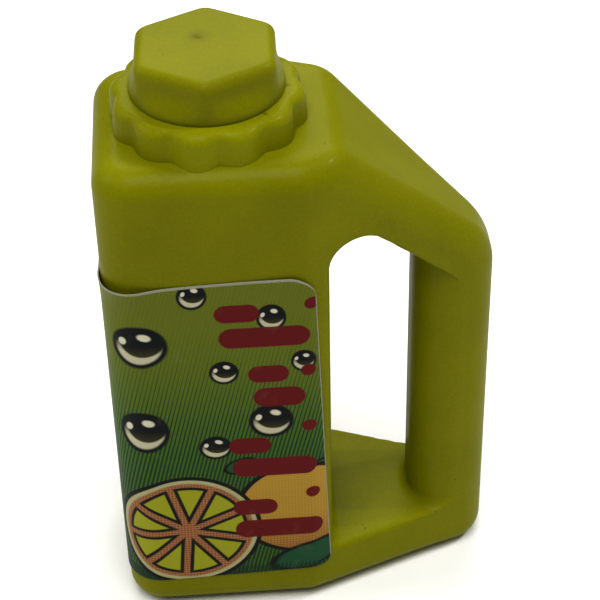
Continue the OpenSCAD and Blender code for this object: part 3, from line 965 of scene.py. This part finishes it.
class JUG_OT_body(bpy.types.Operator):
    """Make the moulded jug with its finger opening and its neck"""
    bl_idname = "jug.body"
    bl_label = "Jug"

    def execute(self, context):
        shape = context.scene.jug_shape
        form = JugForm(shape)
        shelf = form.hole_left + 3.1 * MM                       # the middle of the smudges on the shelf
        base = tuple(context.scene.jug_finishes.plastic)
        finish = moulded_plastic("polypropylene_moulded_lime", base, 0.0, (
            ((shelf, -5.9 * MM, shape.shelf_h), 0.16 * MM, 0.7),
            ((shelf + 0.2 * MM, -6.4 * MM, shape.shelf_h), 0.2 * MM, 0.75),
            ((shelf - 1.2 * MM, -5.2 * MM, shape.shelf_h), 0.12 * MM, 0.4),
        ))
        edge, past = shape.edge_r, 0.8 * MM
        xs = grid_lines(END_X - past, BACK_X + past, [
            (END_X - past, END_X + shape.corner_r),
            (END_X + shape.bend_x - 0.5 * MM, form.grip_touch + 0.5 * MM),
            (BACK_X - edge, BACK_X + past),
        ], shape.fine, shape.coarse)
        half = grid_lines(0.0, HALF_W + past, [
            (HALF_W - edge, HALF_W + past),
            (form.half_width(BACK_X) - edge, form.half_width(form.grip_touch) + 0.5 * MM),
        ], shape.fine, shape.coarse)
        ys = np.concatenate([-half[:0:-1], half])
        low_arm = form.arm_under(form.grip_touch)
        zs = grid_lines(-past, JUG_TOP + past, [
            (-past, edge),
            (shape.shelf_h - 0.6 * MM, shape.shelf_h + shape.grip_fillet),
            (low_arm, form.arm_under(form.hole_left)),
            (JUG_TOP - edge, JUG_TOP + past),
        ], shape.fine, shape.coarse)
        points, faces, normals = skin(form.distance, xs, ys, zs)
        body = make_piece("jug_moulding", points, faces)
        body.data.normals_split_custom_set_from_vertices([tuple(n) for n in normals])
        body.data.materials.append(finish)
        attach(body, "jug")
        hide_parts("jug_body")

        lip = 0.25 * MM
        outer, bore, root = shape.neck_r, shape.neck_bore_r, JUG_TOP - shape.wall / 2
        profile = [(outer, root), (outer, JUG_TOP)]
        profile += arc((outer - lip, NECK_TOP - lip), lip, 0, 90, 5)
        profile += arc((bore + lip, NECK_TOP - lip), lip, 90, 180, 5)
        profile += [(bore, JUG_TOP), (bore, root), (outer, root)]
        points, faces = turned([ring(r, z) for r, z in profile], 96, (AXIS_X, 0.0))
        neck = make_piece("jug_neck", points, faces)
        neck.data.materials.append(finish)
        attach(neck, "jug")
        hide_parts("jug_body")

        thread = context.scene.jug_thread
        start = NECK_TOP - thread.drop - thread.pitch * thread.turns
        ridge = make_piece("jug_neck_thread", [(0, 0, 0)], [])
        baked(ridge, thread_tree(), {
            "Radius": outer,
            "Pitch": thread.pitch,
            "Turns": thread.turns,
            "Ridge radius": thread.ridge_r,
            "Place": (AXIS_X, 0.0, start),
            "Material": finish,
        })
        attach(ridge, "jug")
        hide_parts("jug_body")
        return {"FINISHED"}


class JUG_OT_collar(bpy.types.Operator):
    """Make the lobed collar round the neck"""
    bl_idname = "jug.collar"
    bl_label = "Neck collar"

    def execute(self, context):
        shape = context.scene.jug_collar
        top, foot, edge = COLLAR_HIGH[2], COLLAR_LOW[2], shape.edge_r
        # the two dark marks on the collar's top, at the cap's foot, are painted shade in the crease between
        # collar and cap
        finish = moulded_plastic("polypropylene_collar_lime", tuple(context.scene.jug_finishes.collar), 0.3, (
            ((AXIS_X + 4.6 * MM, -5.0 * MM, top), 0.3 * MM, 0.6),
            ((AXIS_X + 6.7 * MM, -0.8 * MM, top), 0.4 * MM, 0.55),
        ))
        bore = context.scene.jug_shape.neck_r + 0.03 * MM
        lip = 0.3 * MM
        outer = shape.outer_r
        draft = 0.12 * MM                               # the wall leans in by this much to its top
        over = 0.4                                      # how much of the lobes goes over the upper edge
        rows = [(outer, foot - shape.sunk, 1.0)]
        heights = np.linspace(foot - shape.sunk, top - edge, 8)
        rows += [(outer - draft * i / 7, z, 1.0) for i, z in enumerate(heights) if i]
        for i, (r, z) in enumerate(arc((outer - draft - edge, top - edge), edge, 12, 90, 8)):
            rows.append((r, z, 1.0 - (1.0 - over) * i / 7))
        wide = shape.socket_r + lip
        shoulder = outer - draft - edge
        for t in np.linspace(0.15, 1.0, 7):
            rows.append((shoulder + t * (wide - shoulder), top, over * (1 - t) ** 1.5))
        rows += [(r, z, 0.0) for r, z in arc((wide, top - lip), lip, 100, 180, 5)]
        floor = foot + shape.floor_t
        rows += [(shape.socket_r, floor, 0.0), (bore, floor, 0.0), (bore, foot, 0.0)]
        rows += [(outer - edge, foot, 0.5), (outer - edge, foot - shape.sunk, 0.8), rows[0]]
        count = 20 * shape.lobes
        points, faces = turned([ring(r, z) for r, z, _ in rows], count, (AXIS_X, 0.0))
        collar = make_piece("scalloped_collar", points, faces)
        share = collar.data.attributes.new("lobe_share", "FLOAT", "POINT")
        share.data.foreach_set("value", np.repeat([w for _, _, w in rows], count))
        baked(collar, lobe_tree(), {
            "Lobes": shape.lobes,
            "Depth": shape.depth,
            "Turn": shape.turn,
            "Centre": (AXIS_X, 0.0, 0.0),
            "Material": finish,
        })
        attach(collar, "jug")
        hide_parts("neck_collar")
        return {"FINISHED"}


class JUG_OT_cap(bpy.types.Operator):
    """Make the hexagonal screw cap with its round foot, its skirt and its inner thread"""
    bl_idname = "jug.cap"
    bl_label = "Screw cap"

    def execute(self, context):
        shape = context.scene.jug_cap
        top, skirt_low = CAP_HIGH[2], CAP_LOW[2]
        middle = (AXIS_X + shape.gate_x, shape.gate_y)
        finish = moulded_plastic("polypropylene_cap_lime", tuple(context.scene.jug_finishes.cap), 0.6, (
            ((*middle, top), 1.2 * MM, 0.3),
            ((middle[0] - 0.35 * MM, middle[1] + 0.1 * MM, top), 0.6 * MM, 0.3),
        ))
        foot_low = COLLAR_HIGH[2] + shape.foot_gap
        flare_low = foot_low + shape.foot_h
        roof_low = top - shape.roof
        first_flat = shape.vertex + math.radians(30)

        def hexagon(flats, angles):
            """Radius of a hexagon whose corners are rounded."""
            total = 0
            for k in range(3):
                total = total + np.abs(np.cos(angles - first_flat - k * math.pi / 3)) ** shape.sharpness
            return flats / total ** (1 / shape.sharpness)

        def flat_row(share, flats, z):
            return lambda angles: (share * hexagon(flats, angles), z)

        flare_high = top - 0.4 * (top - flare_low)      # the hexagon is whole above this height
        hollow = 1.3                                    # above 1 the flare is hollow

        def flare_row(z):
            """The hexagon's flats run out into the round foot below."""
            share = ramp(z, flare_high, flare_low) ** hollow
            return lambda angles: (hexagon(shape.flats_r, angles) * (1 - share) + shape.foot_r * share, z)

        rows = [flat_row(s, shape.flats_r - shape.edge_r, top) for s in (0.004, 0.3, 0.6, 0.85, 0.97)]
        for a in np.linspace(90, 0, 9):
            inset = shape.edge_r * (1 - math.cos(math.radians(a)))
            z = top - shape.edge_r * (1 - math.sin(math.radians(a)))
            rows.append(flat_row(1.0, shape.flats_r - inset, z))
        rows += [flare_row(z) for z in np.linspace(top - shape.edge_r - 0.1 * MM, flare_low, 14)]
        lip = 0.08 * MM
        rows += [ring(r, z) for r, z in arc((shape.foot_r - lip, foot_low + lip), lip, 0, -90, 5)]
        rows += [ring(shape.skirt_r, foot_low), ring(shape.skirt_r, skirt_low), ring(BORE_R, skirt_low)]
        rows += [ring(BORE_R, roof_low), ring(0.01 * MM, roof_low)]
        count = 240
        points, faces = turned(rows, count, (AXIS_X, 0.0))
        faces = [tuple(reversed(f)) for f in faces]
        faces.append(tuple(range(count)))
        faces.append(tuple(reversed(range(len(points) - count, len(points)))))
        cap = make_piece("hexagon_cap", points, faces)
        cap.data.materials.append(finish)
        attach(cap, "cap")
        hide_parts("screw_cap")

        thread = context.scene.jug_thread
        start = NECK_TOP - thread.drop - thread.pitch * (thread.turns - 0.5)
        ridge = make_piece("cap_thread", [(0, 0, 0)], [])
        baked(ridge, thread_tree(), {
            "Radius": BORE_R,
            "Pitch": thread.pitch,
            "Turns": thread.turns - 0.5,
            "Ridge radius": thread.ridge_r,
            "Place": (AXIS_X, 0.0, start),
            "Material": finish,
        })
        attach(ridge, "cap")
        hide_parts("screw_cap")

        rise = 0.06 * MM
        sunk = 0.005 * MM                               # the nub's rim lies just under the top
        dome = [ring(shape.gate_r * s, top + rise * (1 - s * s) - sunk) for s in (0.01, 0.3, 0.6, 0.85, 1.0)]
        count = 32
        points, faces = turned(dome, count, middle)
        faces = [tuple(reversed(f)) for f in faces] + [tuple(range(count))]
        gate = make_piece("cap_gate_nub", points, faces)
        gate.data.materials.append(finish)
        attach(gate, "cap")
        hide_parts("screw_cap")
        return {"FINISHED"}


class JUG_OT_liner(bpy.types.Operator):
    """Make the foam sealing liner inside the cap"""
    bl_idname = "jug.liner"
    bl_label = "Cap liner"

    def execute(self, context):
        finish = foam("polyethylene_foam_white", tuple(context.scene.jug_finishes.liner))
        low, high = LINER_LOW[2], LINER_HIGH[2] - 0.03 * MM
        side = BORE_R - 0.06 * MM                       # the foam clears the cap's bore and roof by a hair
        lip = 0.1 * MM
        neck = context.scene.jug_shape
        groove = 0.04 * MM                              # the ring that the neck's mouth presses in
        profile = [(0.01 * MM, low), (neck.neck_bore_r - lip, low), (neck.neck_bore_r + lip, low + groove)]
        profile += [(neck.neck_r - lip, low + groove), (neck.neck_r + lip, low)]
        profile += arc((side - lip, low + lip), lip, -90, 0, 4)
        profile += arc((side - lip, high - lip), lip, 0, 90, 4)
        profile += [(0.01 * MM, high)]
        count = 96
        points, faces = turned([ring(r, z) for r, z in profile], count, (AXIS_X, 0.0))
        faces.append(tuple(reversed(range(count))))
        faces.append(tuple(range(len(points) - count, len(points))))
        liner = make_piece("foam_liner", points, faces)
        liner.data.materials.append(finish)
        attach(liner, "liner")
        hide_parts("cap_liner")
        return {"FINISHED"}


class JUG_OT_label(bpy.types.Operator):
    """Make the printed label that wraps round the label end"""
    bl_idname = "jug.label"
    bl_label = "Label"

    def execute(self, context):
        shape = context.scene.jug_label
        wrap = LabelWrap(shape, JugForm(context.scene.jug_shape))
        reach = wrap.reach
        by_end = np.array([0.1, 0.2, 0.4, 0.6, 0.9, 1.1]) * MM
        by_edge = np.array([0.1, 0.2, 0.5, 0.7, 0.9]) * MM
        columns = np.unique(np.concatenate([np.linspace(-reach, reach, 241), by_end - reach, reach - by_end]))
        rows = np.unique(np.concatenate([np.linspace(0, shape.height, 61), by_edge, shape.height - by_edge]))
        near = 0.02 * MM                                # the gum under the label
        outside = [wrap.place(a, b, shape.thickness) for a in columns for b in rows]
        inside = [wrap.place(a, b, near) for a in columns for b in rows]
        count = len(rows)
        half = len(columns) * count
        faces = []
        for i in range(len(columns) - 1):
            for j in range(count - 1):
                p = i * count + j
                faces.append((p, p + count, p + count + 1, p + 1))
        outer_faces = len(faces)
        faces += [tuple(half + k for k in reversed(f)) for f in faces]
        last = (len(columns) - 1) * count
        for i in range(len(columns) - 1):
            p = i * count
            faces.append((p, half + p, half + p + count, p + count))
            p += count - 1
            faces.append((p, p + count, half + p + count, half + p))
        for j in range(count - 1):
            faces.append((j, j + 1, half + j + 1, half + j))
            p = last + j
            faces.append((p, half + p, half + p + 1, p + 1))
        label = make_piece("wrap_label", [point for point, _ in outside + inside], faces)
        label.data.materials.append(printed_label("label_stock_offset_printed"))
        paper = tuple(context.scene.jug_finishes.paper)
        label.data.materials.append(cut_paper("label_stock_cut_edge", paper))
        # the unprinted margin and the cut edges are bare stock
        hair = 0.01 * MM
        blank = {i for i, a in enumerate(columns[:-1]) if reach - abs(a) <= shape.margin / 2 + hair}
        high = {j for j, b in enumerate(rows[:-1]) if shape.height - b <= shape.margin + hair}
        for polygon in label.data.polygons:
            column, row = divmod(polygon.index, count - 1)
            printed = polygon.index < outer_faces and column not in blank and row not in high
            polygon.material_index = 0 if printed else 1
            if polygon.index >= 2 * outer_faces:
                polygon.use_smooth = False
        layer = label.data.uv_layers.new(name="print")
        places = [place for _, place in outside + inside]
        for loop in label.data.loops:
            layer.data[loop.index].uv = places[loop.vertex_index]
        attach(label, "jug")
        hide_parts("label")
        return {"FINISHED"}


class JUG_OT_studio(bpy.types.Operator):
    """Make the pale floor, the soft lights and the camera"""
    bl_idname = "jug.studio"
    bl_label = "Studio"

    def execute(self, context):
        scene = context.scene
        studio = scene.jug_studio
        far = 2                                         # metres from the middle of the floor to its edges
        corners = [(-far, -far, 0), (far, -far, 0), (far, far, 0), (-far, far, 0)]
        floor = make_piece("floor", corners, [(0, 1, 2, 3)], False)
        floor.data.materials.append(matt_floor("board_painted_pale", tuple(scene.jug_finishes.floor)))

        world = bpy.data.worlds.new("room")
        scene.world = world
        world.use_nodes = True
        world.node_tree.nodes["Background"].inputs["Color"].default_value = linear("#f2f3f5")
        world.node_tree.nodes["Background"].inputs["Strength"].default_value = studio.ambient

        middle = Vector((0.0, 0.0, JUG_TOP / 2))
        for name, place, wide, power in (
            ("key_softbox", (-0.03, -0.17, 0.49), 0.30, studio.key),
            ("back_fill", (0.01, 0.38, 0.41), 0.44, studio.fill),
            ("left_fill", (-0.42, 0.05, 0.30), 0.30, studio.side),
            ("glint_lamp_a", (0.268, 0.043, 0.370), 0.020, studio.glint),
            ("glint_lamp_b", (0.270, -0.013, 0.370), 0.020, studio.glint),
        ):
            data = bpy.data.lights.new(name, "AREA")
            data.shape = "DISK"
            data.size = wide
            data.energy = power
            lamp = bpy.data.objects.new(name, data)
            scene.collection.objects.link(lamp)
            lamp.location = place
            lamp.rotation_euler = (middle - Vector(place)).to_track_quat("-Z", "Y").to_euler()

        azimuth, down, roll = math.radians(3.132), math.radians(38.407), math.radians(-1.332)
        data = bpy.data.cameras.new("camera")
        data.lens = studio.lens
        data.sensor_width = 36.0
        data.clip_start = 0.01
        camera = bpy.data.objects.new("camera", data)
        scene.collection.objects.link(camera)
        camera.matrix_world = (
            Matrix.Translation((-0.00743, -0.13699, 0.1381))
            @ Matrix.Rotation(-azimuth, 4, "Z")
            @ Matrix.Rotation(math.pi / 2 - down, 4, "X")
            @ Matrix.Rotation(roll, 4, "Z")
        )
        scene.camera = camera
        scene.view_settings.view_transform = "Standard"
        scene.view_settings.gamma = 0.8
        return {"FINISHED"}


class JUG_PT_pieces(bpy.types.Panel):
    """Lists the pieces of the jug and the sizes they are made from"""
    bl_idname = "JUG_PT_pieces"
    bl_label = "Miniature jug"
    bl_space_type = "VIEW_3D"
    bl_region_type = "UI"
    bl_category = "Jug"

    def draw(self, context):
        for operator in OPERATORS:
            self.layout.operator(operator.bl_idname)
        for name, group in GROUPS.items():
            box = self.layout.box()
            box.label(text=group.__name__)
            for prop in group.__annotations__:
                box.prop(getattr(context.scene, name), prop)


GROUPS = {
    "jug_shape": JugShape,
    "jug_thread": ThreadShape,
    "jug_collar": CollarShape,
    "jug_cap": CapShape,
    "jug_label": LabelShape,
    "jug_finishes": Finishes,
    "jug_studio": Studio,
}
OPERATORS = [JUG_OT_body, JUG_OT_collar, JUG_OT_cap, JUG_OT_liner, JUG_OT_label, JUG_OT_studio]


def register():
    for kind in list(GROUPS.values()) + OPERATORS + [JUG_PT_pieces]:
        bpy.utils.register_class(kind)
    for name, group in GROUPS.items():
        setattr(bpy.types.Scene, name, PointerProperty(type=group))


def unregister():
    for name in GROUPS:
        delattr(bpy.types.Scene, name)
    for kind in [JUG_PT_pieces] + OPERATORS[::-1] + list(GROUPS.values())[::-1]:
        bpy.utils.unregister_class(kind)


def main():
    register()
    bpy.ops.jug.body()
    bpy.ops.jug.collar()
    bpy.ops.jug.cap()
    bpy.ops.jug.liner()
    bpy.ops.jug.label()
    bpy.ops.jug.studio()


if __name__ == "__main__":
    main()
